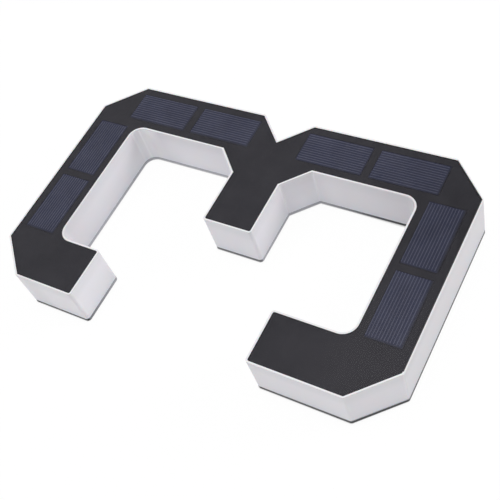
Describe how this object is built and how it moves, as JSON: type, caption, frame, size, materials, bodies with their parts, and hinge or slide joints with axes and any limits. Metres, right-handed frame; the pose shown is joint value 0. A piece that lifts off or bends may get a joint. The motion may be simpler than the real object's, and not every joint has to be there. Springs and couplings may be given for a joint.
{
  "type": "illuminated house number sign",
  "caption": "Block style figure three for a house wall: flush black solar face, glowing opal side wall, sealed back plate with stud inserts and a recessed push button.",
  "frame": {"origin": "middle of the figure's box, on the back of the back plate", "axes": "+X along the figure's width to its right, +Y up the figure, +Z out of its face; it lies on its back plate"},
  "size_m": [0.1444, 0.24, 0.028],
  "materials": {
    "opal_plastic": "satin, light passes through it",
    "black_panel": "satin",
    "clear_film": "satin, clear",
    "cell_silicon": "satin, with fine lines",
    "tinned_copper": "bright tinned",
    "white_plastic": "matte",
    "dark_plastic": "fine grained",
    "seal_rubber": "matte",
    "brass": "turned and knurled",
    "screw_steel": "blackened",
    "black_plastic": "matte",
    "battery_sleeve": "shrink sleeve over a steel can",
    "board_green": "solder mask",
    "chip_black": "matte",
    "coil_grey": "sintered",
    "can_aluminium": "drawn",
    "socket_ivory": "matte",
    "button_plastic": "satin",
    "board_white": "white solder mask",
    "led_yellow": "phosphor",
    "white_lead": "smooth sleeve",
    "red_lead": "smooth sleeve",
    "black_lead": "smooth sleeve"
  },
  "bodies": {
    "housing": {"side_wall": "opal_plastic", "face_panel": "black_panel", "front_film": "clear_film", "solar_cell_top_left": "cell_silicon", "solar_cell_top_right": "cell_silicon", "solar_cell_spine_1": "cell_silicon", "solar_cell_spine_2": "cell_silicon", "solar_cell_spine_3": "cell_silicon", "solar_cell_spine_4": "cell_silicon", "solar_cell_bottom_right": "cell_silicon", "solar_cell_bottom_left": "cell_silicon", "cell_links": "tinned_copper", "reflector": "white_plastic", "back_plate": "dark_plastic", "gasket": "seal_rubber", "stud_inserts": "brass", "plate_screws": "screw_steel", "battery_holder": "black_plastic", "battery_cell": "battery_sleeve", "battery_contact_plus": "tinned_copper", "battery_contact_minus": "tinned_copper", "control_board": "board_green", "charge_chip": "chip_black", "driver_coil": "coil_grey", "capacitor": "can_aluminium", "wire_sockets": "socket_ivory", "board_screws": "screw_steel", "switch_case": "chip_black", "led_board_top": "board_white", "led_board_bottom": "board_white", "led_board_middle": "board_white", "led_board_upper_hook": "board_white", "led_board_lower_hook": "board_white", "led_chips": "led_yellow", "led_leads": "white_lead", "battery_leads": "red_lead", "panel_leads": "black_lead"},
    "button": {"power_button": "button_plastic", "switch_plunger": "black_plastic", "button_seal": "seal_rubber"}
  },
  "joints": [
    {"name": "button_press", "type": "slide", "parent": "housing", "child": "button", "axis": [0, 0, 1], "range_m": [0, 0.0006], "stiffness_N_per_m": 1500, "springref_m": -0.0003}
  ]
}
